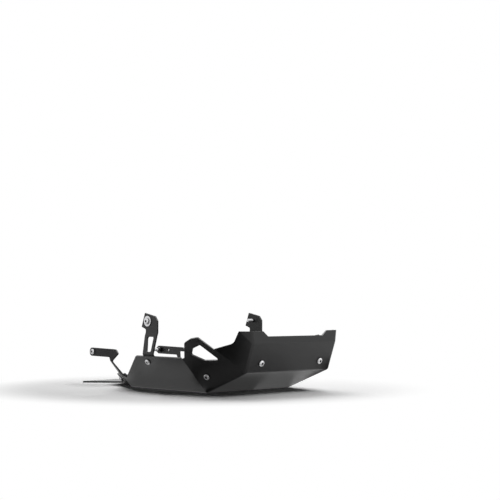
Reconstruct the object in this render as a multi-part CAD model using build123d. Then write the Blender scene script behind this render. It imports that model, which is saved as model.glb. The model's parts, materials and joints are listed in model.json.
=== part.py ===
from build123d import *
import os
from math import cos, radians, sin, tan

# Motorcycle skid plate: a folded tub with two tall side brackets, two rear arms and their fasteners.
# Millimetres and degrees. X points forward, Y to the left, Z up, and the floor's underside is Z = 0.
# Lengths along X are counted from the bend between floor and ramp until the part is centred at the end.

# Folded sheet
SHEET = 4.0
BEND_INSIDE = 3.0
FLOOR_HALF_WIDTH = 129.0
RAMP_ANGLE = 21.0
RAMP_LENGTH = 132.0
NOSE_LEAN = 20.0
NOSE_LENGTH = 67.5
NOSE_TOP = 136.0
NOSE_TOP_HALF_WIDTH = 132.3
NOSE_FLARE = 3.3
NOTCH_BOTTOM = 125.0
NOTCH_BOTTOM_HALF_WIDTH = 85.5
NOTCH_TOP_HALF_WIDTH = 100.0
NOTCH_RADIUS = 6.0

# Flared rear wall, in its own plane: along X, then up the wall from the bend
WALL_FLARE = 56.0
WALL_HEIGHT = 88.0
WALL_FRONT = -21.3
WALL_REAR_TOP = -184.0
WALL_REAR = -264.0
WALL_REAR_STEP = 19.0
WALL_CORNER_RADIUS = 4.0

# Wing, in its own plane: along the ramp's edge, then up the wing
WING_SHOULDER = (12.0, 89.0)
WING_REAR_TOP = (40.5, 118.0)
WING_TOP = (62.0, 119.0)
WING_FRONT_TOP = (81.5, 114.0)
WING_FRONT_FOOT = (99.7, 75.5)
WING_SHOULDER_RADIUS = 3.0
WING_TOP_RADIUS = 9.0
WINDOW = ((49.6, 98.2), (74.6, 97.5), (94.0, 47.8), (56.3, 62.8), (35.0, 87.7))
WINDOW_RADIUS = 3.5

# Side facet beside the nose, in its own plane: up the nose's edge, then back from it
SIDE_CREST = (51.5, 37.5)
SIDE_TOP = (79.3, 29.7)
SIDE_CREST_RADIUS = 16.0
SIDE_TOP_EDGE = 3.2

# Low flank that tapers from the wall's rear end to a waist, and the flat fishtail behind the waist
FLANK_FLARE = 52.5
FLANK_HEIGHT = 26.5
FLANK_LEVEL_FROM = -73.0
WAIST_FRONT = -392.0
WAIST_HALF_WIDTH = 56.0
TAIL_REAR = -480.0
TAIL_HALF_WIDTH = 124.0
TAIL_CORNER_RADIUS = 4.0

# Tall side bracket
BRACKET_SHEET = 4.0
FOOT_LOW = 57.0
STRAP_RISE = 3.0
STRAP_REAR_LOW = -162.0
STRAP_REAR_TOP = -167.8
STRAP_FRONT = -126.4
TAB_FACE = 166.0
TAB_FOLD = 130.0
TAB_TOP = 174.5
TAB_REAR_TOP = -170.0
TAB_SLOPE_FRONT = (-134.0, 167.0)
TAB_FRONT = -125.6
TAB_FRONT_SHOULDER = 156.3
TAB_REAR = -181.6
TAB_REAR_HEIGHT = 142.6
TAB_NECK = (-166.0, 137.2)
TAB_NECK_RADIUS = 5.0
SLOT_TOP = 120.5
SLOT_BOTTOM = 87.0
SLOT_REAR_TOP = -158.4
SLOT_REAR_BOTTOM = -149.8
SLOT_FRONT = -135.0
SLOT_RADIUS = 4.0
TAB_BOLT = (-159.0, 155.6)

# Rear arm: upright tab, along X then Z, folded inwards at the neck to a foot on the flank's inner face
ARM_SHEET = 4.0
ARM_FACE = 109.5
ARM_BOLT = (-449.0, 77.7)
ARM_END_RADIUS = 10.3
ARM_END_MARGIN = 13.6
ARM_TOE_TOP = (-356.0, 85.6)
ARM_TOE = (-346.5, 75.0)
ARM_ELBOW = (-370.5, 57.5)
ARM_OPEN_TOE = (-370.5, 75.3)
ARM_NECK_FRONT = -368.0
ARM_NECK_REAR = -376.5
ARM_TAB_LOW = (-381.0, 66.0)
ARM_CORNER_RADIUS = 2.5
ARM_TOE_RADIUS = 5.0
ARM_ROUNDING = 0.9
ARM_PIN_HOLE = (-415.0, 77.5)
ARM_PIN_HOLE_RADIUS = 3.5

# Foot of the rear arm, in the flank's plane: forward from the wall's fold, then up from the bend
FOOT_REAR = -127.0
FOOT_FRONT = -73.0
FOOT_BOTTOM = 5.0
FOOT_SHOULDER = 22.0
FOOT_CORNER_RADIUS = 5.0
FOOT_SCREW = (-97.0, 15.0)

# Fasteners
FASTENER_SIDES = 24
THREAD_RADIUS = 4.0
HOLE_CLEARANCE = 0.5
NUT_CLEARANCE = 0.1
HEAD_RADIUS = 7.0
HEAD_HEIGHT = 4.4
SOCKET_ACROSS_FLATS = 5.0
SOCKET_DEPTH = 2.6
WASHER_RADIUS = 12.0
WASHER_THICKNESS = 2.0
NUT_ACROSS_FLATS = 13.0
NUT_HEIGHT = 6.5
NUT_STANDOUT = 2.0
THREAD_STANDOUT = 14.0
SPACER_RADIUS = 6.5
SPACER_LENGTH = 9.0
ARM_THREAD_STANDOUT = 16.0
NOSE_SCREW = (-91.0, 19.0)
WING_SCREW = (32.1, 28.6)
WALL_SCREW = (-147.9, 74.4)

BEND_OUTSIDE = BEND_INSIDE + SHEET
HOLE_RADIUS = THREAD_RADIUS + HOLE_CLEARANCE
CUT = 12.0
TRIM_BESIDE = 5.0
REACH = 2 * NOSE_TOP


def slope(angle):
    """Unit vector in the centre plane, rising forward at an angle above the floor."""
    return Vector(cos(radians(angle)), 0, sin(radians(angle)))


def upward(angle):
    """Unit vector square to a panel that rises forward at an angle, on the tub's inner side."""
    return Vector(-sin(radians(angle)), 0, cos(radians(angle)))


def bend_centre(corner, angle, next_angle):
    """Centre of the bend between two panels whose outer faces meet at a corner."""
    a, b = upward(angle), upward(next_angle)
    return corner + (a + b) * (BEND_OUTSIDE / (1 + a.dot(b)))


def facet(origin, along, third):
    """Plane through three points, with X from the first to the second and Z outward."""
    x = along - origin
    return Plane(origin, x_dir=x, z_dir=x.cross(third - origin))


def prism(plane, outline, depth=CUT):
    """Solid of a closed outline on a plane, reaching a depth to both sides of it."""
    return extrude(plane * make_face(outline), amount=depth, both=True)


def mirrored(shape):
    """The same shape on the other side of the centre plane."""
    return mirror(shape, about=Plane.XZ)


# Bend centres along the right edge of floor, ramp and nose
nose_angle = 90.0 - NOSE_LEAN
bend_inset = BEND_OUTSIDE * tan(radians(WALL_FLARE) / 2)
floor_corner = Vector(0, bend_inset - FLOOR_HALF_WIDTH, 0)
nose_edge = Vector(0, bend_inset + NOSE_FLARE - NOSE_TOP_HALF_WIDTH, 0)
ramp_corner = nose_edge + slope(RAMP_ANGLE) * RAMP_LENGTH
nose_corner = ramp_corner + slope(nose_angle) * NOSE_LENGTH
floor_bend = bend_centre(floor_corner, 0, RAMP_ANGLE)
ramp_bend = bend_centre(ramp_corner, RAMP_ANGLE, nose_angle)
nose_bend = bend_centre(nose_corner, nose_angle, 90)
front_x = nose_bend.X + BEND_OUTSIDE

# Planes of the facets through the bend centres, with Z outward
flare = radians(WALL_FLARE)
wall_core = Plane(floor_bend, x_dir=(1, 0, 0), z_dir=(0, -sin(flare), -cos(flare)))
wing_core = facet(floor_bend, ramp_bend, wall_core.from_local_coords(Vector(WALL_FRONT, WALL_HEIGHT, 0)))
side_core = facet(ramp_bend, nose_bend, wing_core.from_local_coords(Vector(*WING_FRONT_FOOT, 0)))
cheek_top = Vector(nose_bend.X, nose_bend.Y - NOSE_FLARE, NOSE_TOP)
cheek_core = facet(nose_bend, cheek_top, side_core.from_local_coords(Vector(*SIDE_TOP, 0)))
taper = Vector(WALL_REAR - WAIST_FRONT, WAIST_HALF_WIDTH - FLOOR_HALF_WIDTH, 0).normalized()
flank_out = Vector(taper.Y, -taper.X, 0) * sin(radians(FLANK_FLARE)) - Vector(0, 0, cos(radians(FLANK_FLARE)))
flank_core = Plane((WALL_REAR, floor_bend.Y, floor_bend.Z), x_dir=taper, z_dir=flank_out)
floor_core = Plane(floor_bend, z_dir=(0, 0, -1))
ramp_core = Plane(floor_bend, z_dir=upward(RAMP_ANGLE) * -1)
nose_core = Plane((ramp_bend.X, 0, ramp_bend.Z), x_dir=(0, 1, 0), z_dir=upward(nose_angle) * -1)
band_core = Plane((nose_bend.X, 0, nose_bend.Z), x_dir=(0, 1, 0), z_dir=(1, 0, 0))

# Outer faces of the facets that carry outlines and screws
wall = wall_core.offset(BEND_OUTSIDE)
wing = wing_core.offset(BEND_OUTSIDE)
side = side_core.offset(BEND_OUTSIDE)
nose = nose_core.offset(BEND_OUTSIDE)
flank = flank_core.offset(BEND_OUTSIDE)

# Faces of the parts that are bolted to the tub, with Z outward on the right
tab_face = Plane((0, -TAB_FACE, 0), x_dir=(1, 0, 0), z_dir=(0, -1, 0))
arm_face = Plane((0, -ARM_FACE, 0), x_dir=(1, 0, 0), z_dir=(0, -1, 0))
foot_face = flank.offset(-SHEET)


def meeting(plane, place, direction, other):
    """Where a line on a plane, from a place in a direction of that plane, meets another plane."""
    start = plane.from_local_coords(Vector(*place, 0))
    way = plane.from_local_coords(Vector(*direction, 0)) - plane.origin
    length = (other.origin - start).dot(other.z_dir) / way.dot(other.z_dir)
    return plane.to_local_coords(start + way * length)


def tub_core():
    """Space between the bend centres: a block cut by the plane of every facet."""
    core = Pos(0, 0, NOSE_TOP) * Box(8 * REACH, 4 * REACH, 2 * NOSE_TOP)
    for plane in (floor_core, ramp_core, nose_core, band_core):
        core = split(core, bisect_by=plane, keep=Keep.BOTTOM)
    for plane in (wall_core, wing_core, side_core, cheek_core, flank_core):
        left = Plane((plane.origin.X, -plane.origin.Y, plane.origin.Z),
                     z_dir=(plane.z_dir.X, -plane.z_dir.Y, plane.z_dir.Z))
        core = split(core, bisect_by=plane, keep=Keep.BOTTOM)
        core = split(core, bisect_by=left, keep=Keep.BOTTOM)
    return core


def wall_cut():
    """What is trimmed from the right wall, above its top and slanted rear edge, up to the flank's fold."""
    step = meeting(wall, (0, WALL_REAR_STEP), (1, 0), flank)
    along_fold = meeting(wall, (0, REACH), (1, 0), flank)
    outline = FilletPolyline(
        (WALL_FRONT, WALL_HEIGHT), (WALL_REAR_TOP, WALL_HEIGHT), (step.X, step.Y), (along_fold.X, REACH),
        (WALL_FRONT, REACH), radius=(0, WALL_CORNER_RADIUS, 0, 0, 0), close=True)
    return prism(wall, outline)


def flank_cut():
    """What is trimmed from the right flank, above its top edge."""
    step = flank.to_local_coords(wall.from_local_coords(meeting(wall, (0, WALL_REAR_STEP), (1, 0), flank)))
    along_fold = meeting(flank, (0, REACH), (1, 0), wall)
    outline = Polyline(
        (step.X, step.Y), (FLANK_LEVEL_FROM, FLANK_HEIGHT), (-REACH, FLANK_HEIGHT), (-REACH, REACH),
        (along_fold.X, REACH), close=True)
    return prism(flank, outline)


def wing_cut():
    """What is trimmed from the right wing, round its raised lobe, and a little past the folds beside it."""
    fold = wing.to_local_coords(wall.from_local_coords(Vector(WALL_FRONT, WALL_HEIGHT, 0)))
    crest = wing.to_local_coords(side.from_local_coords(Vector(*SIDE_CREST, 0)))
    foot = Vector(*WING_FRONT_FOOT)
    beside = foot + Vector(crest.X - foot.X, crest.Y - foot.Y).normalized() * TRIM_BESIDE
    rear = fold.X - TRIM_BESIDE
    outline = FilletPolyline(
        (rear, WING_SHOULDER[1]), WING_SHOULDER, WING_REAR_TOP, WING_TOP, WING_FRONT_TOP, WING_FRONT_FOOT,
        (beside.X, beside.Y), (beside.X, REACH), (rear, REACH),
        radius=(0, WING_SHOULDER_RADIUS, *[WING_TOP_RADIUS] * 3, 0, 0, 0, 0), close=True)
    return prism(wing, outline)


def window_cut():
    """Five-sided window in the right wing."""
    return prism(wing, FilletPolyline(*WINDOW, radius=WINDOW_RADIUS, close=True))


def side_cut():
    """What is trimmed from the right side facet, above its hollow top edge."""
    foot = side.to_local_coords(wing.from_local_coords(Vector(*WING_FRONT_FOOT, 0)))
    top = Vector(SIDE_TOP[0], SIDE_TOP[1] + SIDE_TOP_EDGE)
    beyond = top + (top - Vector(*SIDE_CREST))
    along_fold = foot * (REACH / foot.Y)
    outline = FilletPolyline(
        (foot.X, foot.Y), SIDE_CREST, (beyond.X, beyond.Y), (beyond.X, REACH), (along_fold.X, REACH),
        radius=(0, SIDE_CREST_RADIUS, 0, 0, 0), close=True)
    return prism(side, outline)


def notch_cut():
    """Notch in the upright band at the top of the nose."""
    outline = FilletPolyline(
        (-NOTCH_TOP_HALF_WIDTH, NOSE_TOP), (-NOTCH_BOTTOM_HALF_WIDTH, NOTCH_BOTTOM),
        (NOTCH_BOTTOM_HALF_WIDTH, NOTCH_BOTTOM), (NOTCH_TOP_HALF_WIDTH, NOSE_TOP),
        (NOTCH_TOP_HALF_WIDTH, NOSE_TOP + REACH), (-NOTCH_TOP_HALF_WIDTH, NOSE_TOP + REACH),
        radius=(0, NOTCH_RADIUS, NOTCH_RADIUS, 0, 0, 0), close=True)
    return prism(Plane((front_x, 0, 0), x_dir=(0, 1, 0), z_dir=(1, 0, 0)), outline)


def tail():
    """Flat fishtail that carries on from the floor behind the waist."""
    waist = WAIST_HALF_WIDTH - BEND_OUTSIDE
    half = [(WAIST_FRONT + CUT, waist), (WAIST_FRONT, waist), (TAIL_REAR, TAIL_HALF_WIDTH)]
    outline = Polyline(*half, *[(x, -y) for x, y in reversed(half)], close=True)
    plate = extrude(make_face(outline), amount=SHEET)
    corners = plate.edges().filter_by(Axis.Z).group_by(Axis.X)[0]
    return fillet(corners, TAIL_CORNER_RADIUS)


def bore(plane, place):
    """Clearance hole for a screw, square to a plane."""
    return plane * Pos(*place, 0) * Cylinder(HOLE_RADIUS, 2 * CUT)


def skid_plate():
    """The folded sheet with its outlines, window, notch, fishtail and screw holes."""
    core = tub_core()
    tub = offset(core, BEND_OUTSIDE) - offset(core, BEND_INSIDE)
    tub = split(tub, bisect_by=Plane((WAIST_FRONT, 0, 0), z_dir=(1, 0, 0)), keep=Keep.TOP)
    tub = split(tub, bisect_by=Plane((0, 0, NOSE_TOP), z_dir=(0, 0, 1)), keep=Keep.BOTTOM)
    tub = tub - notch_cut()
    outlines = wall_cut(), flank_cut(), wing_cut(), window_cut(), side_cut()
    places = (wall, WALL_SCREW), (flank, FOOT_SCREW), (wing, WING_SCREW), (nose, NOSE_SCREW)
    screw_holes = [bore(plane, place) for plane, place in places]
    for cut in (*outlines, *screw_holes):
        tub = tub - cut - mirrored(cut)
    return tub + tail()


def tall_bracket():
    """Right-hand side bracket: foot on the wall's inner face, slotted strap and bolted tab."""
    inner_wall = wall.offset(-SHEET)
    low = inner_wall.from_local_coords(Vector(0, FOOT_LOW, 0))
    knee = inner_wall.from_local_coords(Vector(0, WALL_HEIGHT + STRAP_RISE, 0))
    route = FilletPolyline(
        (low.Y, low.Z), (knee.Y, knee.Z), (-TAB_FACE, TAB_FOLD), (-TAB_FACE, TAB_TOP + CUT),
        radius=(BEND_OUTSIDE, BEND_INSIDE))
    section = make_face(offset(route, BRACKET_SHEET, side=Side.RIGHT))
    folded = extrude(Plane.YZ * section, amount=2 * REACH, both=True)
    outline = FilletPolyline(
        (STRAP_REAR_LOW, low.Z - CUT), (STRAP_REAR_LOW, knee.Z), (STRAP_REAR_TOP, TAB_FOLD - BEND_OUTSIDE),
        TAB_NECK, (TAB_REAR, TAB_REAR_HEIGHT), (TAB_REAR_TOP, TAB_TOP), TAB_SLOPE_FRONT,
        (TAB_FRONT, TAB_FRONT_SHOULDER), (TAB_FRONT, TAB_FOLD), (STRAP_FRONT, TAB_FOLD - BEND_OUTSIDE),
        (STRAP_FRONT, low.Z - CUT),
        radius=(0, 0, 0, TAB_NECK_RADIUS, *[0] * 7), close=True)
    slot = FilletPolyline((SLOT_REAR_TOP, SLOT_TOP), (SLOT_FRONT, SLOT_TOP), (SLOT_FRONT, SLOT_BOTTOM),
                          (SLOT_REAR_BOTTOM, SLOT_BOTTOM), radius=SLOT_RADIUS, close=True)
    bracket = folded & prism(tab_face, outline, REACH / 2)
    return bracket - prism(tab_face, slot, REACH / 2) - bore(tab_face, TAB_BOLT) - bore(wall, WALL_SCREW)


def rear_arm(throat):
    """Right-hand rear arm: long tab with its bolt, narrow neck, and foot on the flank's inner face.

    The throat is the corner of the front edge between the tab's toe and the neck.
    Tab and foot end at the fold, where their outer faces meet.
    """
    end = ARM_BOLT[0] - ARM_END_MARGIN
    end_radius = ARM_ROUNDING * ARM_END_RADIUS
    fold = [meeting(arm_face, (x, 0), (0, 1), foot_face) for x in (ARM_NECK_FRONT, ARM_NECK_REAR)]
    tab = FilletPolyline(
        (end, ARM_BOLT[1] + ARM_END_RADIUS), ARM_TOE_TOP, ARM_TOE, throat, *[(p.X, p.Y) for p in fold],
        ARM_TAB_LOW, (end, ARM_BOLT[1] - ARM_END_RADIUS), close=True,
        radius=(end_radius, ARM_TOE_RADIUS, ARM_TOE_RADIUS / 2, ARM_CORNER_RADIUS, 0, 0, ARM_CORNER_RADIUS,
                end_radius))
    top = [foot_face.to_local_coords(arm_face.from_local_coords(p)) for p in fold]
    foot = FilletPolyline(
        *[(p.X, p.Y) for p in top], (FOOT_REAR, FOOT_SHOULDER), (FOOT_REAR, FOOT_BOTTOM),
        (FOOT_FRONT, FOOT_BOTTOM), (FOOT_FRONT, FOOT_SHOULDER),
        close=True, radius=(0, 0, *[FOOT_CORNER_RADIUS] * 4))
    arm = extrude(arm_face * make_face(tab), amount=-ARM_SHEET)
    arm = arm + extrude(foot_face * make_face(foot), amount=-ARM_SHEET)
    return arm - bore(foot_face, FOOT_SCREW) - bore(arm_face, ARM_BOLT)


def left_rear_arm():
    """Left-hand rear arm, with an open throat and a small pin hole in its tab."""
    pin = arm_face * Pos(*ARM_PIN_HOLE, 0) * Cylinder(ARM_PIN_HOLE_RADIUS, 2 * CUT)
    return mirrored(rear_arm(ARM_OPEN_TOE) - pin)


def turned(radius, low, high):
    """Round bar of a fastener about Z, with a few flat sides, between two heights."""
    return extrude(Pos(0, 0, low) * RegularPolygon(radius, FASTENER_SIDES), amount=high - low)


def hexagonal(across_flats, low, high):
    """Hexagonal bar about Z, between two heights."""
    outline = RegularPolygon(across_flats / 2, 6, major_radius=False)
    return extrude(Pos(0, 0, low) * outline, amount=high - low)


def button_screw(plane, place, length):
    """Screw with a low round head and a hexagon socket, seated on a plane with its thread behind."""
    head = turned(HEAD_RADIUS, 0, HEAD_HEIGHT)
    socket = hexagonal(SOCKET_ACROSS_FLATS, HEAD_HEIGHT - SOCKET_DEPTH, HEAD_HEIGHT)
    return plane * Pos(*place, 0) * (head - socket + turned(THREAD_RADIUS, -length, 0))


def ring(plane, place, outer, thickness, clearance):
    """Washer or spacer round a thread, with its outer face on a plane."""
    blank = turned(outer, -thickness, 0) - turned(THREAD_RADIUS + clearance, -thickness, 0)
    return plane * Pos(*place, 0) * blank


def lock_nut(plane, place):
    """Hexagon nut round a thread, with its seat on a plane."""
    thread_hole = turned(THREAD_RADIUS + NUT_CLEARANCE, -NUT_HEIGHT, 0)
    return plane * Pos(*place, 0) * (hexagonal(NUT_ACROSS_FLATS, -NUT_HEIGHT, 0) - thread_hole)


def right_hand_pieces():
    """Every piece on the right that has a mirror image on the left, by name."""
    nut_reach = NUT_HEIGHT + NUT_STANDOUT
    wall_grip = SHEET + BRACKET_SHEET
    foot_grip = SHEET + ARM_SHEET
    tab_seat = tab_face.offset(WASHER_THICKNESS)
    arm_back = arm_face.offset(-ARM_SHEET)
    tab_length = WASHER_THICKNESS + BRACKET_SHEET + THREAD_STANDOUT
    arm_length = ARM_SHEET + SPACER_LENGTH + ARM_THREAD_STANDOUT
    return {
        "tall_bracket": tall_bracket(),
        "nose_screw": button_screw(nose, NOSE_SCREW, SHEET + THREAD_STANDOUT),
        "wing_screw": button_screw(wing, WING_SCREW, SHEET + THREAD_STANDOUT),
        "wall_screw": button_screw(wall, WALL_SCREW, wall_grip + nut_reach),
        "wall_nut": lock_nut(wall.offset(-wall_grip), WALL_SCREW),
        "foot_screw": button_screw(flank, FOOT_SCREW, foot_grip + nut_reach),
        "foot_nut": lock_nut(flank.offset(-foot_grip), FOOT_SCREW),
        "tab_bolt": button_screw(tab_seat, TAB_BOLT, tab_length),
        "tab_washer": ring(tab_seat, TAB_BOLT, WASHER_RADIUS, WASHER_THICKNESS, HOLE_CLEARANCE),
        "arm_bolt": button_screw(arm_face, ARM_BOLT, arm_length),
        "arm_spacer": ring(arm_back, ARM_BOLT, SPACER_RADIUS, SPACER_LENGTH, NUT_CLEARANCE),
    }


nodes = {
    "skid_plate": skid_plate(),
    "rear_arm_right": rear_arm(ARM_ELBOW),
    "rear_arm_left": left_rear_arm(),
}
for name, shape in right_hand_pieces().items():
    nodes[f"{name}_right"] = shape
    nodes[f"{name}_left"] = mirrored(shape)

# The origin lies under the middle of the whole part, halfway between nose and tail
centred = Pos(-(front_x + TAIL_REAR) / 2, 0, 0)
os.makedirs("parts", exist_ok=True)
for name, shape in nodes.items():
    export_step(centred * shape.solid(), f"parts/{name}.step")
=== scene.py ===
"""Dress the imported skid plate: coats and broken edges, turned fasteners, studio, light and camera.

Metres, in the part's own frame: +X to the nose, +Y to the left, +Z up, and the floor's underside at Z = 0.
"""
import json
import logging
from dataclasses import dataclass
from enum import Enum
from math import cos, pi, radians, sin, tau
from typing import Any

import bpy
import numpy as np
from mathutils import Matrix, Vector

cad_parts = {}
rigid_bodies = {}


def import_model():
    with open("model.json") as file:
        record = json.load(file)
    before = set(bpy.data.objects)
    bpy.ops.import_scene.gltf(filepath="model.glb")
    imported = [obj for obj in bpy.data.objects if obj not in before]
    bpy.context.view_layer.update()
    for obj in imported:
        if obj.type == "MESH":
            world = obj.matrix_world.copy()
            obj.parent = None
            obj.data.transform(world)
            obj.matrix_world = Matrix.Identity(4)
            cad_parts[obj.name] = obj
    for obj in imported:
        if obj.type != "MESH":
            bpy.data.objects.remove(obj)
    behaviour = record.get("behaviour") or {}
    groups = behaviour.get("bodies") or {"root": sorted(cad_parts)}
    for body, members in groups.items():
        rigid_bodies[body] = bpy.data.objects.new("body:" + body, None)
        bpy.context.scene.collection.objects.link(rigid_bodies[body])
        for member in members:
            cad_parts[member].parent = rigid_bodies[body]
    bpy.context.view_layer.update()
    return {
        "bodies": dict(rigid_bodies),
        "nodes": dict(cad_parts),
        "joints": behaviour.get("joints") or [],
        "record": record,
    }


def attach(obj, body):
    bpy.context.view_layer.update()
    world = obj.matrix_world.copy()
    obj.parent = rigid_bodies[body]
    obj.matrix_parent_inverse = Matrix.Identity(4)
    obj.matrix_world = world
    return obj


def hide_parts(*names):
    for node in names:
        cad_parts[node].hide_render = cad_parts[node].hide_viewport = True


Array = np.ndarray
Colour = tuple[float, float, float]
Place = tuple[float, float, float]
FloorPlace = tuple[float, float]
Plug = bpy.types.NodeSocket

LOG = logging.getLogger("skid_plate")
BODY = "root"
# Name of the mesh attribute that holds each corner's share of painted shade.
PAINTED_SHADE = "painted_shade"
UP = (0.0, 0.0, 1.0)
CORNER_DIGITS = 6
CENTIMETRES_TO_A_METRE = 100
TURNED_CREASE = radians(35.0)
NOISE_LOW = 0.3
NOISE_HIGH = 0.7
IMAGE_WIDTH = 500
SENSOR_WIDTH = 36.0


class Slot(Enum):
    """Material slots of the record."""

    SHEET = "sheet_coat"
    BRACKET = "bracket_coat"
    BRIGHT = "bright_steel"
    BLACK = "black_steel"


class Hand(Enum):
    """The two sides of the part, as they end the names of its nodes."""

    RIGHT = "right"
    LEFT = "left"


class Closure(Enum):
    """How the rows of a turned surface end: in a point on the axis, or back at the first row."""

    POLES = "poles"
    RING = "ring"


class NodeBench:
    """Nodes of one material, world or modifier, added and wired together."""

    # A Mix node has plugs of the same name for each kind of data, so those for colours go by number.
    MIX_SHARE = 0
    MIX_START = 6
    MIX_END = 7
    MIX_RESULT = 2

    def __init__(self, tree: bpy.types.NodeTree) -> None:
        """Start with an empty node tree."""
        self.tree = tree
        tree.nodes.clear()

    def add(self, kind: str, **settings: Any) -> bpy.types.Node:
        """Add a node.

        Args:
            kind: Blender's type name of the node.
            settings: Properties of the node, set as attributes.

        Returns:
            The new node.
        """
        node = self.tree.nodes.new(kind)
        for name, value in settings.items():
            setattr(node, name, value)
        return node

    def wire(self, source: Plug, target: Plug) -> None:
        """Link an output to an input."""
        self.tree.links.new(source, target)

    def surface(self, shader: Plug, kind: str = "ShaderNodeOutputMaterial") -> None:
        """Make a shader the result of a material or a world."""
        self.wire(shader, self.add(kind).inputs["Surface"])

    def noise(self, coords: Plug, scale: float, detail: float) -> Plug:
        """Add a noise pattern.

        Args:
            coords: Coordinates that the pattern reads.
            scale: Cells to a metre, or to a unit of UV.
            detail: Octaves of finer noise.

        Returns:
            The pattern's value, about 0.5 on the whole.
        """
        node = self.add("ShaderNodeTexNoise")
        node.inputs["Scale"].default_value = scale
        node.inputs["Detail"].default_value = detail
        self.wire(coords, node.inputs["Vector"])
        return node.outputs["Fac"]

    def spread(self, value: Plug, low: float, high: float) -> Plug:
        """Map the middle range of a noise to a range of its own.

        Args:
            value: The noise.
            low: Result where the noise is NOISE_LOW or less.
            high: Result where the noise is NOISE_HIGH or more.

        Returns:
            The mapped value.
        """
        node = self.add("ShaderNodeMapRange")
        ends = {"From Min": NOISE_LOW, "From Max": NOISE_HIGH, "To Min": low, "To Max": high}
        for name, number in ends.items():
            node.inputs[name].default_value = number
        self.wire(value, node.inputs["Value"])
        return node.outputs["Result"]

    def tint(self, share: Plug, start: Colour | Plug, end: Colour) -> Plug:
        """Blend two colours.

        Args:
            share: Share of the second colour, from 0 to 1.
            start: First colour, or the output that gives it.
            end: Second colour.

        Returns:
            The blended colour.
        """
        node = self.add("ShaderNodeMix", data_type="RGBA")
        if isinstance(start, tuple):
            node.inputs[self.MIX_START].default_value = (*start, 1)
        else:
            self.wire(start, node.inputs[self.MIX_START])
        node.inputs[self.MIX_END].default_value = (*end, 1)
        self.wire(share, node.inputs[self.MIX_SHARE])
        return node.outputs[self.MIX_RESULT]

    def bump(self, height: Plug, strength: float, depth: float) -> Plug:
        """Turn a height pattern into a normal.

        Args:
            height: The pattern.
            strength: Share of the full effect.
            depth: Height of the pattern in metres.

        Returns:
            The bumped normal.
        """
        node = self.add("ShaderNodeBump")
        node.inputs["Strength"].default_value = strength
        node.inputs["Distance"].default_value = depth
        self.wire(height, node.inputs["Height"])
        return node.outputs["Normal"]


def new_material(name: str) -> tuple[bpy.types.Material, NodeBench]:
    """Make a material with no nodes yet.

    Args:
        name: Name of the material.

    Returns:
        The material, and the bench for its nodes.
    """
    made = bpy.data.materials.new(name)
    made.use_nodes = True
    return made, NodeBench(made.node_tree)


def new_object(name: str, data: bpy.types.ID) -> bpy.types.Object:
    """Make an object and put it in the scene.

    Args:
        name: Name of the object.
        data: Its mesh, lamp or camera.

    Returns:
        The new object.
    """
    made = bpy.data.objects.new(name, data)
    bpy.context.scene.collection.objects.link(made)
    return made


def new_lamp(name: str, width: float, height: float, watts: float) -> bpy.types.Object:
    """Make a flat, four-sided lamp that the camera doesn't see.

    Args:
        name: Name of the lamp.
        width: Its size along its own X.
        height: Its size along its own Y.
        watts: Its power.

    Returns:
        The lamp, at the origin and facing down.
    """
    data = bpy.data.lights.new(name, "AREA")
    data.shape = "RECTANGLE"
    data.size, data.size_y = width, height
    data.energy = watts
    lamp = new_object(name, data)
    lamp.visible_camera = False
    return lamp


@dataclass(frozen=True)
class PowderCoat:
    """Satin black powder coat: cloudy tone, uneven gloss and the fine orange peel of a baked film."""

    name: str
    dark: Colour
    light: Colour
    smoothest: float
    roughest: float
    specular: float
    cloud_scale: float = 9.0
    cloud_detail: float = 3.0
    peel_scale: float = 700.0
    peel_detail: float = 2.0
    peel_depth: float = 0.00002
    peel_strength: float = 0.30

    def material(self) -> bpy.types.Material:
        """Make the coat's material from object coordinates.

        Returns:
            The new material.
        """
        made, bench = new_material(self.name)
        coords = bench.add("ShaderNodeTexCoord").outputs["Object"]
        shader = bench.add("ShaderNodeBsdfPrincipled")
        shader.inputs["Specular IOR Level"].default_value = self.specular
        clouds = bench.noise(coords, self.cloud_scale, self.cloud_detail)
        peel = bench.noise(coords, self.peel_scale, self.peel_detail)
        tone = bench.tint(bench.spread(clouds, 0.0, 1.0), self.dark, self.light)
        bench.wire(tone, shader.inputs["Base Color"])
        bench.wire(bench.spread(peel, self.smoothest, self.roughest), shader.inputs["Roughness"])
        bench.wire(bench.bump(peel, self.peel_strength, self.peel_depth), shader.inputs["Normal"])
        bench.surface(shader.outputs["BSDF"])
        return made


@dataclass(frozen=True)
class TurnedMetal:
    """Bare or blackened metal from a lathe, with fine rings that follow the turned profile, and painted shade
    in its recesses.
    """

    name: str
    dark: Colour
    light: Colour
    smoothest: float
    roughest: float
    metallic: float
    rings: float = 60.0
    ring_detail: float = 2.0
    ring_squeeze: float = 0.6
    ring_depth: float = 0.00002
    ring_strength: float = 0.20
    # Colour of the painted shade in sockets and in the gap under a head.
    painted_shade: Colour = (0.02, 0.02, 0.021)

    def material(self) -> bpy.types.Material:
        """Make the metal's material from the UV map, whose V runs along the profile in centimetres.

        Returns:
            The new material.
        """
        made, bench = new_material(self.name)
        squeeze = bench.add("ShaderNodeMapping")
        squeeze.inputs["Scale"].default_value = (self.ring_squeeze, 1.0, 1.0)
        bench.wire(bench.add("ShaderNodeTexCoord").outputs["UV"], squeeze.inputs["Vector"])
        shader = bench.add("ShaderNodeBsdfPrincipled")
        shader.inputs["Metallic"].default_value = self.metallic
        rings = bench.noise(squeeze.outputs["Vector"], self.rings, self.ring_detail)
        metal = bench.tint(bench.spread(rings, 0.0, 1.0), self.dark, self.light)
        # Painted shade: corners in a socket or under a head are blended towards the dark shade colour.
        shade_share = bench.add("ShaderNodeAttribute", attribute_name=PAINTED_SHADE).outputs["Fac"]
        bench.wire(bench.tint(shade_share, metal, self.painted_shade), shader.inputs["Base Color"])
        bench.wire(bench.spread(rings, self.smoothest, self.roughest), shader.inputs["Roughness"])
        bench.wire(bench.bump(rings, self.ring_strength, self.ring_depth), shader.inputs["Normal"])
        bench.surface(shader.outputs["BSDF"])
        return made


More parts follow.
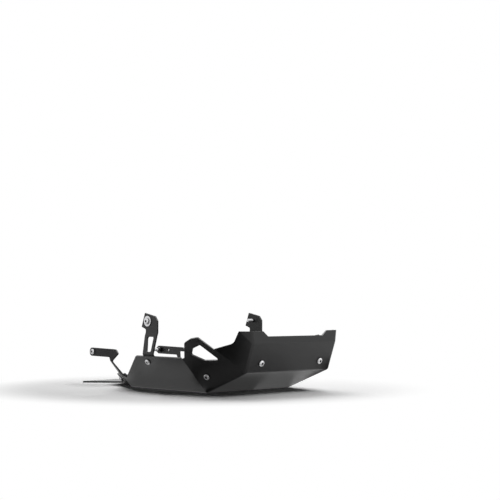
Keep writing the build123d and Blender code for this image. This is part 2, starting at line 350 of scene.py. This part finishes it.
@dataclass(frozen=True)
class EdgeFinish:
    """Softened cut edges and smooth bends on a node of folded sheet, made by modifiers."""

    weld: float = 0.000002
    break_width: float = 0.00035
    break_segments: int = 2
    crease: float = radians(32.0)
    flat_weight: int = 90

    def apply(self, node: bpy.types.Object) -> None:
        """Weld the node's triangles, break its sharp edges, and shade its bends smooth and its flats even.

        Args:
            node: A node of the frame.
        """
        weld = node.modifiers.new("weld", "WELD")
        weld.merge_threshold = self.weld
        edges = node.modifiers.new("edge_break", "BEVEL")
        edges.width = self.break_width
        edges.segments = self.break_segments
        edges.limit_method = "ANGLE"
        edges.angle_limit = self.crease
        edges.use_clamp_overlap = True
        shade = node.modifiers.new("smooth_bends", "NODES")
        shade.node_group = self.shading_group()
        flats = node.modifiers.new("even_flats", "WEIGHTED_NORMAL")
        flats.mode = "FACE_AREA"
        flats.weight = self.flat_weight
        flats.keep_sharp = True

    def shading_group(self) -> bpy.types.NodeTree:
        """Nodes that shade every face smooth and keep edges sharper than the crease angle.

        Returns:
            The node group, made once and shared.
        """
        name = "smooth_bends"
        if name in bpy.data.node_groups:
            return bpy.data.node_groups[name]
        group = bpy.data.node_groups.new(name, "GeometryNodeTree")
        for way in ("INPUT", "OUTPUT"):
            group.interface.new_socket("Geometry", in_out=way, socket_type="NodeSocketGeometry")
        bench = NodeBench(group)
        start = bench.add("NodeGroupInput")
        faces = bench.add("GeometryNodeSetShadeSmooth", domain="FACE")
        angle = bench.add("GeometryNodeInputMeshEdgeAngle")
        sharp = bench.add("FunctionNodeCompare", data_type="FLOAT", operation="GREATER_THAN")
        sharp.inputs["B"].default_value = self.crease
        edges = bench.add("GeometryNodeSetShadeSmooth", domain="EDGE")
        edges.inputs["Shade Smooth"].default_value = False
        end = bench.add("NodeGroupOutput")
        bench.wire(start.outputs[0], faces.inputs[0])
        bench.wire(faces.outputs[0], edges.inputs[0])
        bench.wire(angle.outputs["Unsigned Angle"], sharp.inputs["A"])
        bench.wire(sharp.outputs["Result"], edges.inputs["Selection"])
        bench.wire(edges.outputs[0], end.inputs[0])
        return group


def node_corners(node: bpy.types.Object) -> Array:
    """Distinct corners of a node's mesh, to a micrometre.

    Args:
        node: A node of the frame.

    Returns:
        One row of three coordinates for each corner.
    """
    flat = np.empty(len(node.data.vertices) * 3)
    node.data.vertices.foreach_get("co", flat)
    return np.unique(flat.reshape(-1, 3).round(CORNER_DIGITS), axis=0)


def full_turn(columns: int) -> Array:
    """Angles of even columns, all the way round."""
    return np.arange(columns) * tau / columns


def hexagon(angle: Array, across_flats: float) -> Array:
    """Radius of a hexagon: half its width across flats over the cosine of the angle from a flat's middle."""
    return across_flats / 2 / np.cos(np.mod(angle, pi / 3) - pi / 6)


@dataclass(frozen=True)
class Axis:
    """Centre line of a fastener: the seat of its head, the way to the head, and a way square to that."""

    seat: Array
    along: Array
    across: Array

    @classmethod
    def of_screw(cls, node: bpy.types.Object, head_height: float) -> "Axis":
        """Find a screw's centre line, as the longest direction of its corners, turned towards the head.

        Args:
            node: The screw in the frame.
            head_height: Height of its head.

        Returns:
            The centre line.
        """
        corners = node_corners(node)
        middle = corners.mean(axis=0)
        offset = corners - middle
        line = np.linalg.svd(offset, full_matrices=False)[2][0]
        height = offset @ line
        width = np.linalg.norm(offset - np.outer(height, line), axis=1)
        towards_head = np.sign(height[width.argmax()])
        along = line * towards_head
        top = (height * towards_head).max()
        across = np.cross(along, UP)
        return cls(middle + along * (top - head_height), along, across / np.linalg.norm(across))

    def span(self, node: bpy.types.Object) -> tuple[float, float]:
        """Lowest and highest place of a node along the line, counted from the seat."""
        places = (node_corners(node) - self.seat) @ self.along
        return float(places.min()), float(places.max())

    def points(self, radius: Array, angle: Array, height: Array) -> Array:
        """Points in space of cylinder coordinates about the line.

        Formula: seat + height * along + radius * (cos(angle) * across + sin(angle) * (along x across)).

        Args:
            radius: Distance from the line.
            angle: Angle about the line.
            height: Place along the line.

        Returns:
            The points, with one more dimension than the arguments.
        """
        third = np.cross(self.along, self.across)
        sideways = np.cos(angle)[..., None] * self.across + np.sin(angle)[..., None] * third
        return self.seat + height[..., None] * self.along + radius[..., None] * sideways


@dataclass(frozen=True)
class Stretch:
    """Some rows of a turned surface, with a share of painted shade where they lie in a recess or a gap.

    The radius has one value for each row, or also one for each column.
    """

    radius: Array
    height: Array
    # Share of painted shade, from 0 for none to 1 for full.
    dark: Array | float = 0.0

    @classmethod
    def row(cls, radius: float, height: float) -> "Stretch":
        """A single round row."""
        return cls(np.array([radius]), np.array([height]))

    def radii(self, columns: int) -> Array:
        """Radius of each row and column."""
        rows = len(self.height)
        return np.broadcast_to(np.reshape(self.radius, (rows, -1)), (rows, columns))


@dataclass(frozen=True)
class Profile:
    """A turned surface: a radius for each row and column, and a height and a share of painted shade for each
    row.
    """

    radius: Array
    height: Array
    dark: Array
    closure: Closure

    @classmethod
    def of_rows(cls, stretches: list[Stretch], columns: int, closure: Closure) -> "Profile":
        """Stack stretches of rows.

        Args:
            stretches: The stretches, in order.
            columns: Columns in a full turn.
            closure: How the rows end.

        Returns:
            The whole profile.
        """
        radius = np.concatenate([part.radii(columns) for part in stretches])
        height = np.concatenate([part.height for part in stretches])
        dark = np.concatenate([np.broadcast_to(part.dark, len(part.height)) for part in stretches])
        return cls(radius, height, dark, closure)

    def mesh(self, name: str, axis: Axis) -> bpy.types.Object:
        """Turn the profile about an axis into a closed mesh with a UV map.

        Row i and column j make the point at height h(i) and radius r(i, j), j shares of a full turn round.

        Args:
            name: Name of the new object.
            axis: The centre line.

        Returns:
            The new object, in the scene.
        """
        points = self.points(axis)
        sides, side_uv = self.sides()
        caps, cap_uv = self.caps()
        mesh = bpy.data.meshes.new(name)
        mesh.from_pydata(points.tolist(), [], sides.tolist() + caps.tolist())
        layer = mesh.uv_layers.new(name="turned")
        layer.data.foreach_set("uv", np.concatenate([side_uv, cap_uv]).ravel())
        # Painted shade share of each corner; the points on the axis take those of the end rows.
        rows_shade = np.repeat(self.dark, self.radius.shape[1])
        dark = np.concatenate([rows_shade, self.dark[[0, -1]]])[:len(points)]
        mesh.attributes.new(PAINTED_SHADE, "FLOAT", "POINT").data.foreach_set("value", dark)
        mesh.shade_smooth()
        mesh.set_sharp_from_angle(angle=TURNED_CREASE)
        return new_object(name, mesh)

    def points(self, axis: Axis) -> Array:
        """Corners of the mesh, row by row, then the two points on the axis where the rows end in them.

        Args:
            axis: The centre line.

        Returns:
            One row of three coordinates for each corner.
        """
        shape = self.radius.shape
        turn = np.broadcast_to(full_turn(shape[1]), shape)
        height = np.broadcast_to(self.height[:, None], shape)
        grid = axis.points(self.radius, turn, height).reshape(-1, 3)
        if self.closure is Closure.RING:
            return grid
        return np.concatenate([grid, axis.points(np.zeros(2), np.zeros(2), self.height[[0, -1]])])

    def sides(self) -> tuple[Array, Array]:
        """Quads between each row and the next, and their UV map.

        U is the share of a full turn, and V is the way along the profile.

        Returns:
            The four corners of each quad, and U and V at each of those corners.
        """
        rows, columns = self.radius.shape
        column = np.arange(columns)
        after = (column + 1) % columns
        first = np.arange(rows if self.closure is Closure.RING else rows - 1)
        here = first[:, None] * columns
        there = (first[:, None] + 1) % rows * columns
        quads = np.stack([here + column, here + after, there + after, there + column], axis=-1)
        way = self.travel()
        u = np.stack([column, column + 1, column + 1, column], axis=-1) / columns
        v = np.stack([way[first], way[first], way[first + 1], way[first + 1]], axis=-1)
        uv = np.stack(np.broadcast_arrays(u[None], v[:, None]), axis=-1)
        return quads.reshape(-1, 4), uv.reshape(-1, 2)

    def caps(self) -> tuple[Array, Array]:
        """Triangles from the first and the last row to the points on the axis, and their UV map.

        Returns:
            The three corners of each triangle, and U and V at each of those corners. A ring has none.
        """
        if self.closure is Closure.RING:
            return np.empty((0, 3), dtype=int), np.empty((0, 2))
        rows, columns = self.radius.shape
        column = np.arange(columns)
        after = (column + 1) % columns
        foot = rows * columns
        top = foot + 1
        last = foot - columns
        lower = np.stack([np.full(columns, foot), after, column], axis=-1)
        upper = np.stack([np.full(columns, top), last + column, last + after], axis=-1)
        way = self.travel()
        lower_u = np.stack([column + 0.5, column + 1, column], axis=-1) / columns
        lower_v = np.broadcast_to([0.0, way[0], way[0]], lower_u.shape)
        upper_u = lower_u[:, [0, 2, 1]]
        upper_v = np.broadcast_to([way[-1], way[-2], way[-2]], upper_u.shape)
        uv = np.concatenate([np.stack([lower_u, lower_v], axis=-1), np.stack([upper_u, upper_v], axis=-1)])
        return np.concatenate([lower, upper]), uv.reshape(-1, 2)

    def travel(self) -> Array:
        """Way along the profile, from the mean radius and the height of its rows.

        Returns:
            The way to each row and back to the first one, in centimetres.
        """
        mean = np.stack([self.radius.mean(axis=1), self.height], axis=-1)
        steps = np.linalg.norm(np.diff(np.concatenate([mean, mean[:1]]), axis=0), axis=1)
        return np.concatenate([[0.0], steps.cumsum()]) * CENTIMETRES_TO_A_METRE


@dataclass(frozen=True)
class Turning:
    """How finely the fasteners are turned."""

    columns: int = 72
    dome_rows: int = 12
    rows_to_a_pitch: int = 8
    chamfer_rows: int = 8

    @property
    def angle(self) -> Array:
        """Angle of each column."""
        return full_turn(self.columns)


@dataclass(frozen=True)
class ButtonScrew:
    """Domed button-head screw with a hexagon socket and a rolled M8 thread."""

    head_radius: float = 0.007
    head_height: float = 0.0044
    rim: float = 0.0010
    rim_break: float = 0.0003
    crown_radius: float = 0.0036
    socket_across: float = 0.005
    socket_depth: float = 0.0026
    socket_break: float = 0.0003
    socket_point: float = 0.0007
    point_share: float = 0.02
    thread_radius: float = 0.004
    thread_depth: float = 0.0006
    pitch: float = 0.00125
    plain_shank: float = 0.0020
    # Painted shade in the gap under the head, and the dome angle over which it fades out.
    gap_shade: float = 0.9
    gap_shade_fade: float = 0.5
    turning: Turning = Turning()

    def profile(self, tip: float) -> Profile:
        """Rows from the tip of the thread, round the head and down to the point of the socket."""
        stretches = [self.thread(tip), self.seat(), self.dome(), self.socket()]
        return Profile.of_rows(stretches, self.turning.columns, Closure.POLES)

    def thread(self, tip: float) -> Stretch:
        """Rows of the thread, chamfered at the tip, to the seat, where it runs out into the plain shank.

        The radius falls by the depth times half of 1 - cos(2 pi (height / pitch - turn)), so the thread winds
        upwards.

        Args:
            tip: Height of the tip, below the seat.

        Returns:
            The rows.
        """
        count = int(-tip / self.pitch * self.turning.rows_to_a_pitch)
        height = np.linspace(tip, 0.0, count + 1)
        wave = 0.5 - 0.5 * np.cos(tau * (height[:, None] / self.pitch - self.turning.angle / tau))
        runout = np.clip(-height / self.plain_shank, 0.0, 1.0)[:, None]
        chamfer = self.thread_radius - self.thread_depth + (height - tip)[:, None]
        return Stretch(np.minimum(self.thread_radius - self.thread_depth * wave * runout, chamfer), height)

    def seat(self) -> Stretch:
        """Rows of the broken edge under the head, with painted shade for the gap below it."""
        radius = np.array([self.head_radius - self.rim_break, self.head_radius])
        return Stretch(radius, np.array([0.0, self.rim_break]), self.gap_shade)

    def dome(self) -> Stretch:
        """Rows of the dome, a quarter of an ellipse. The gap's painted shade fades out above its rim.

        Returns:
            The rows.
        """
        rise = np.linspace(0.0, pi / 2, self.turning.dome_rows)
        radius = self.crown_radius + (self.head_radius - self.crown_radius) * np.cos(rise)
        height = self.rim + (self.head_height - self.rim) * np.sin(rise)
        return Stretch(radius, height, self.gap_shade * np.clip(1.0 - rise / self.gap_shade_fade, 0.0, 1.0))

    def socket(self) -> Stretch:
        """Rows of the socket: its broken edge, its walls and the point below them, with painted shade from
        the walls down.

        Returns:
            The rows.
        """
        outline = hexagon(self.turning.angle, self.socket_across)
        radius = np.stack([outline + self.socket_break, outline, outline, outline * self.point_share])
        floor = self.socket_depth
        depth = np.array([0.0, self.socket_break, floor, floor + self.socket_point])
        return Stretch(radius, self.head_height - depth, np.array([0.0, 1.0, 1.0, 1.0]))


@dataclass(frozen=True)
class LockNut:
    """Hexagon lock nut with chamfered corners and a rolled collar over its locking ring."""

    across_flats: float = 0.013
    bore_radius: float = 0.0041
    washer_radius: float = 0.0061
    chamfer_slope: float = 0.5
    collar_radius: float = 0.0055
    collar_height: float = 0.0016
    collar_break: float = 0.0006
    turning: Turning = Turning()

    def profile(self, seat: float, top: float) -> Profile:
        """Rows from the bore at the outer end, over the collar and the flats, to the bore at the seat.

        The radius of the flats is the smaller of the hexagon's and a cone's that rises from the washer face.

        Args:
            seat: Height of the face that bears on the part.
            top: Height of the outer end, which is lower, because heights count towards the screw's head.

        Returns:
            The profile.
        """
        flats = hexagon(self.turning.angle, self.across_flats)
        corner = self.across_flats / np.sqrt(3.0)
        drop = np.linspace(0.0, (corner - self.washer_radius) * self.chamfer_slope, self.turning.chamfer_rows)
        cone = (self.washer_radius + drop / self.chamfer_slope)[:, None]
        chamfered = np.minimum(flats, cone)
        shoulder = top + self.collar_height
        curl = np.linspace(0.0, pi / 2, self.turning.chamfer_rows)
        collar = self.collar_radius - self.collar_break * (1 - np.sin(curl))
        stretches = [
            Stretch.row(self.bore_radius, top),
            Stretch(collar, top + self.collar_break * (1 - np.cos(curl))),
            Stretch.row(self.collar_radius, shoulder),
            Stretch(chamfered, shoulder + drop),
            Stretch(chamfered[::-1], seat - drop[::-1]),
            Stretch.row(self.bore_radius, seat),
        ]
        return Profile.of_rows(stretches, self.turning.columns, Closure.RING)


@dataclass(frozen=True)
class Ring:
    """Washer or spacer: a plain ring with rounded edges."""

    outer: float
    bore: float
    edge: float
    turning: Turning = Turning()

    def profile(self, low: float, high: float) -> Profile:
        """Rows up the rim, in over the upper face and down the bore, each corner a quarter of a circle.

        Args:
            low: Height of the lower face.
            high: Height of the upper face.

        Returns:
            The profile.
        """
        curl = np.linspace(0.0, pi / 2, self.turning.chamfer_rows)
        out, up = self.edge * np.sin(curl), self.edge * (1 - np.cos(curl))
        rim, hole = self.outer - self.edge, self.bore + self.edge
        stretches = [
            Stretch(rim + out, low + up),
            Stretch(rim + out[::-1], high - up[::-1]),
            Stretch(hole - out, high - up),
            Stretch(hole - out[::-1], low + up[::-1]),
        ]
        return Profile.of_rows(stretches, self.turning.columns, Closure.RING)


class Kit:
    """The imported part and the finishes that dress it."""

    def __init__(self, frame: dict[str, Any], finishes: dict[Slot, PowderCoat | TurnedMetal]) -> None:
        """Make each finish's material once.

        Args:
            frame: What the frame's loader returned.
            finishes: A finish for each slot of the record.
        """
        self.nodes: dict[str, bpy.types.Object] = frame["nodes"]
        self.materials = {slot: finish.material() for slot, finish in finishes.items()}

    def coat(self, node: str, slot: Slot, edges: EdgeFinish) -> None:
        """Give a node of the frame its finish and soft edges.

        Args:
            node: Name of the node.
            slot: Slot of its finish.
            edges: Finish of its edges.
        """
        piece = self.nodes[node]
        self.paint(piece, slot)
        edges.apply(piece)
        LOG.info("coated %s with %s", node, slot.value)

    def paint(self, piece: bpy.types.Object, slot: Slot) -> None:
        """Make a slot's material the only one on a piece."""
        piece.data.materials.clear()
        piece.data.materials.append(self.materials[slot])

    def stand_in(self, piece: bpy.types.Object, node: str, slot: Slot) -> None:
        """Let a detailed piece stand for a node of the frame.

        Args:
            piece: The detailed piece.
            node: Name of the node that it replaces.
            slot: Slot of its finish.
        """
        self.paint(piece, slot)
        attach(piece, BODY)
        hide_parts(node)
        LOG.info("turned %s for %s, %d faces", piece.name, node, len(piece.data.polygons))


@dataclass(frozen=True)
class FoldedSheet:
    """The folded plate itself."""

    node: str = "skid_plate"
    edges: EdgeFinish = EdgeFinish()

    def build(self, kit: Kit) -> None:
        """Coat the plate."""
        kit.coat(self.node, Slot.SHEET, self.edges)


@dataclass(frozen=True)
class SideFittings:
    """Bracket, arm and fasteners of one side."""

    hand: Hand
    screw: ButtonScrew = ButtonScrew()
    nut: LockNut = LockNut()
    washer: Ring = Ring(outer=0.012, bore=0.0045, edge=0.0004)
    spacer: Ring = Ring(outer=0.0065, bore=0.0041, edge=0.0005)
    edges: EdgeFinish = EdgeFinish()

    def build(self, kit: Kit) -> None:
        """Coat the bracket and the arm, and turn every fastener of the side.

        Args:
            kit: The part and its finishes.
        """
        for name in ("tall_bracket", "rear_arm"):
            kit.coat(self.named(name), Slot.BRACKET, self.edges)
        for name in ("nose_screw", "wing_screw"):
            self.turn_screw(kit, name)
        for screw, nut in (("wall_screw", "wall_nut"), ("foot_screw", "foot_nut")):
            axis = self.turn_screw(kit, screw)
            low, high = axis.span(kit.nodes[self.named(nut)])
            self.turn(kit, nut, self.nut.profile(high, low), axis, Slot.BLACK)
        for screw, ring, form, slot in (("tab_bolt", "tab_washer", self.washer, Slot.BRIGHT),
                                        ("arm_bolt", "arm_spacer", self.spacer, Slot.BLACK)):
            axis = self.turn_screw(kit, screw)
            self.turn(kit, ring, form.profile(*axis.span(kit.nodes[self.named(ring)])), axis, slot)

    def named(self, name: str) -> str:
        """Full name of a node of this side."""
        return f"{name}_{self.hand.value}"

    def turn_screw(self, kit: Kit, name: str) -> Axis:
        """Turn a screw where its node lies.

        Args:
            kit: The part and its finishes.
            name: The screw's name without its side.

        Returns:
            The screw's centre line.
        """
        node = kit.nodes[self.named(name)]
        axis = Axis.of_screw(node, self.screw.head_height)
        self.turn(kit, name, self.screw.profile(axis.span(node)[0]), axis, Slot.BRIGHT)
        return axis

    def turn(self, kit: Kit, name: str, profile: Profile, axis: Axis, slot: Slot) -> None:
        """Turn a profile about an axis and let it stand for a node of this side."""
        node = self.named(name)
        kit.stand_in(profile.mesh(f"turned_{node}", axis), node, slot)


@dataclass(frozen=True)
class SoftBox:
    """A large soft lamp that faces a point of the part, with its azimuth and elevation in degrees."""

    name: str
    azimuth: float
    elevation: float
    distance: float
    width: float
    height: float
    watts: float
    target: Place = (0.0, 0.0, 0.06)

    def build(self) -> None:
        """Add the lamp."""
        turn, rise = radians(self.azimuth), radians(self.elevation)
        back = Vector((cos(turn) * cos(rise), sin(turn) * cos(rise), sin(rise)))
        lamp = new_lamp(self.name, self.width, self.height, self.watts)
        lamp.location = Vector(self.target) + back * self.distance
        lamp.rotation_mode = "QUATERNION"
        lamp.rotation_quaternion = back.to_track_quat("Z", "Y")
        LOG.info("lit %s, %.0f W", self.name, self.watts)


@dataclass(frozen=True)
class BounceCard:
    """Soft light off a pale card on the floor, given by a flat lamp that faces up at one facet."""

    name: str
    centre: FloorPlace
    length: float
    width: float
    glow: float
    lift: float = 0.0005

    def build(self) -> None:
        """Add the lamp, with a power of glow times pi times its area."""
        watts = self.glow * pi * self.length * self.width
        card = new_lamp(self.name, self.length, self.width, watts)
        card.location = (*self.centre, self.lift)
        card.rotation_euler = (pi, 0.0, 0.0)
        LOG.info("laid %s, glow %.2f", self.name, self.glow)


@dataclass(frozen=True)
class DarkCard:
    """A flat black or grey card that stands on the floor near the part and darkens one facet's reflection."""

    name: str
    start: FloorPlace
    end: FloorPlace
    height: float
    tone: Colour = (0.005, 0.005, 0.005)

    def build(self) -> None:
        """Add the card, which shows in reflections alone and keeps no lamp's light from anything."""
        foot = np.array([[*self.start, 0.0], [*self.end, 0.0]])
        head = foot[::-1] + (0.0, 0.0, self.height)
        mesh = bpy.data.meshes.new(self.name)
        mesh.from_pydata(np.concatenate([foot, head]).tolist(), [], [[0, 1, 2, 3]])
        made, bench = new_material(self.name)
        paint = bench.add("ShaderNodeBsdfDiffuse")
        paint.inputs["Color"].default_value = (*self.tone, 1)
        bench.surface(paint.outputs[0])
        mesh.materials.append(made)
        card = new_object(self.name, mesh)
        card.visible_camera = False
        card.visible_diffuse = False
        card.visible_shadow = False
        LOG.info("stood %s", self.name)


@dataclass(frozen=True)
class Studio:
    """Plain pale floor, white surroundings, soft boxes and cards."""

    fittings: tuple[SoftBox | BounceCard | DarkCard, ...]
    fill: float = 0.005
    floor_radius: float = 8.0
    floor_colour: float = 0.8
    floor_shown: float = 1.25
    fade_start: float = 0.36
    fade_end: float = 0.56
    columns: int = 96

    def build(self) -> None:
        """Add the floor, the surroundings, the lamps and the cards."""
        bpy.context.scene.view_settings.view_transform = "Standard"
        self.floor()
        self.surroundings()
        for fitting in self.fittings:
            fitting.build()

    def shown(self, bench: NodeBench) -> Plug:
        """Tell what is seen from what only lights.

        Args:
            bench: The bench that gets the nodes.

        Returns:
            A value that is 1 for rays from the camera, a mirror or a glass, and 0 for the rest.
        """
        path = bench.add("ShaderNodeLightPath")
        total = path.outputs["Is Camera Ray"]
        for name in ("Is Glossy Ray", "Is Transmission Ray"):
            either = bench.add("ShaderNodeMath", operation="MAXIMUM")
            bench.wire(total, either.inputs[0])
            bench.wire(path.outputs[name], either.inputs[1])
            total = either.outputs[0]
        return total

    def floor(self) -> None:
        """Add a flat disc that takes the part's shadow."""
        turn = full_turn(self.columns)
        rim = self.floor_radius * np.stack([np.cos(turn), np.sin(turn), np.zeros_like(turn)], axis=-1)
        mesh = bpy.data.meshes.new("floor")
        mesh.from_pydata(rim.tolist(), [], [list(range(self.columns))])
        mesh.materials.append(self.floor_paint())
        disc = new_object("floor", mesh)
        LOG.info("laid the floor")

    def floor_paint(self) -> bpy.types.Material:
        """Make the floor's material: matt near the part, and fading to plain white far from it, where seen.

        Returns:
            The new material.
        """
        made, bench = new_material("pale_floor")
        shown = self.shown(bench)
        paint = bench.add("ShaderNodeBsdfDiffuse")
        tone = bench.tint(shown, (self.floor_colour,) * 3, (self.floor_shown,) * 3)
        bench.wire(tone, paint.inputs["Color"])
        away = bench.add("ShaderNodeVectorMath", operation="LENGTH")
        bench.wire(bench.add("ShaderNodeTexCoord").outputs["Object"], away.inputs[0])
        fade = bench.add("ShaderNodeMapRange", interpolation_type="SMOOTHSTEP")
        fade.inputs["From Min"].default_value = self.fade_start
        fade.inputs["From Max"].default_value = self.fade_end
        bench.wire(away.outputs["Value"], fade.inputs["Value"])
        share = bench.add("ShaderNodeMath", operation="MULTIPLY")
        bench.wire(fade.outputs["Result"], share.inputs[0])
        bench.wire(shown, share.inputs[1])
        glow = bench.add("ShaderNodeEmission")
        blend = bench.add("ShaderNodeMixShader")
        bench.wire(share.outputs[0], blend.inputs[0])
        bench.wire(paint.outputs[0], blend.inputs[1])
        bench.wire(glow.outputs[0], blend.inputs[2])
        bench.surface(blend.outputs[0])
        return made

    def surroundings(self) -> None:
        """Make the world white where it is seen, and a low even fill where it only lights."""
        world = bpy.data.worlds.new("white_room")
        world.use_nodes = True
        bpy.context.scene.world = world
        bench = NodeBench(world.node_tree)
        back = bench.add("ShaderNodeBackground")
        tone = bench.tint(self.shown(bench), (self.fill,) * 3, (1.0, 1.0, 1.0))
        bench.wire(tone, back.inputs["Color"])
        bench.surface(back.outputs[0], "ShaderNodeOutputWorld")


@dataclass(frozen=True)
class View:
    """Camera low in front of the part's right side, about level with the tall brackets' tops."""

    place: Place = (1.88033, -1.65169, 0.17550)
    heading: float = radians(46.011)
    pitch: float = radians(3.411)
    focal_pixels: float = 1047.06
    nearest: float = 0.05
    farthest: float = 100.0

    def build(self) -> None:
        """Add the camera and make it the scene's own."""
        data = bpy.data.cameras.new("camera")
        data.sensor_width = SENSOR_WIDTH
        data.lens = self.focal_pixels / IMAGE_WIDTH * SENSOR_WIDTH
        data.clip_start, data.clip_end = self.nearest, self.farthest
        camera = new_object("camera", data)
        a, b = cos(self.heading), sin(self.heading)
        right = Vector((a, b, 0.0))
        ahead = Vector((-b * cos(self.pitch), a * cos(self.pitch), sin(self.pitch)))
        above = right.cross(ahead)
        axes = Matrix((right, above, -ahead)).transposed()
        camera.matrix_world = Matrix.Translation(self.place) @ axes.to_4x4()
        bpy.context.scene.camera = camera
        LOG.info("placed the camera, lens %.1f mm", data.lens)


COAT_DARK: Colour = (0.008, 0.008, 0.0084)
COAT_LIGHT: Colour = (0.011, 0.011, 0.0114)
STEEL_DARK: Colour = (0.62, 0.62, 0.63)
STEEL_LIGHT: Colour = (0.78, 0.78, 0.79)
OXIDE_DARK: Colour = (0.012, 0.012, 0.013)
OXIDE_LIGHT: Colour = (0.022, 0.022, 0.023)
CARD_GREY: Colour = (0.2, 0.2, 0.2)

FINISHES: dict[Slot, PowderCoat | TurnedMetal] = {
    Slot.SHEET: PowderCoat(
        "satin_black_coat", COAT_DARK, COAT_LIGHT, smoothest=0.30, roughest=0.36, specular=0.5),
    Slot.BRACKET: PowderCoat(
        "bracket_coat", COAT_DARK, COAT_LIGHT, smoothest=0.34, roughest=0.40, specular=0.4),
    Slot.BRIGHT: TurnedMetal(
        "bright_turned_steel", STEEL_DARK, STEEL_LIGHT, smoothest=0.36, roughest=0.48, metallic=1.0),
    Slot.BLACK: TurnedMetal(
        "black_oxide_steel", OXIDE_DARK, OXIDE_LIGHT, smoothest=0.36, roughest=0.52, metallic=0.3),
}

STUDIO = Studio((
    SoftBox("top_box", azimuth=128.0, elevation=46.0, distance=2.2, width=1.8, height=1.2, watts=31.0),
    SoftBox("front_top", azimuth=50.0, elevation=55.0, distance=2.2, width=2.0, height=1.5, watts=18.0),
    BounceCard("wall_card", centre=(0.015, -0.180), length=0.19, width=0.044, glow=0.60),
    BounceCard("wall_foot_card", centre=(-0.010, -0.143), length=0.270, width=0.030, glow=0.52),
    BounceCard("wall_toe_card", centre=(0.145, -0.138), length=0.040, width=0.020, glow=0.46),
    BounceCard("wing_card", centre=(0.200, -0.165), length=0.12, width=0.05, glow=0.18),
    BounceCard("near_ramp_card", centre=(0.19, -0.06), length=0.12, width=0.14, glow=0.13),
    BounceCard("far_ramp_card", centre=(0.20, 0.075), length=0.12, width=0.13, glow=0.30),
    BounceCard("fold_card", centre=(0.28, 0.05), length=0.07, width=0.32, glow=0.60),
    DarkCard("side_card", start=(0.12, -0.27), end=(0.35, -0.27), height=0.17),
    DarkCard("ramp_card", start=(0.17, 0.165), end=(0.33, 0.165), height=0.05),
    DarkCard("strap_card", start=(-0.25, -0.30), end=(-0.06, -0.30), height=0.07, tone=CARD_GREY),
    DarkCard("arm_card", start=(-0.54, -0.30), end=(-0.36, -0.30), height=0.16, tone=CARD_GREY),
))


def main() -> None:
    """Build the classes in order, and report each piece."""
    logging.basicConfig(level=logging.INFO, format="%(name)s: %(message)s")
    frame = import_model()
    kit = Kit(frame, FINISHES)
    FoldedSheet().build(kit)
    for hand in Hand:
        SideFittings(hand).build(kit)
    STUDIO.build()
    View().build()


if __name__ == "__main__":
    main()
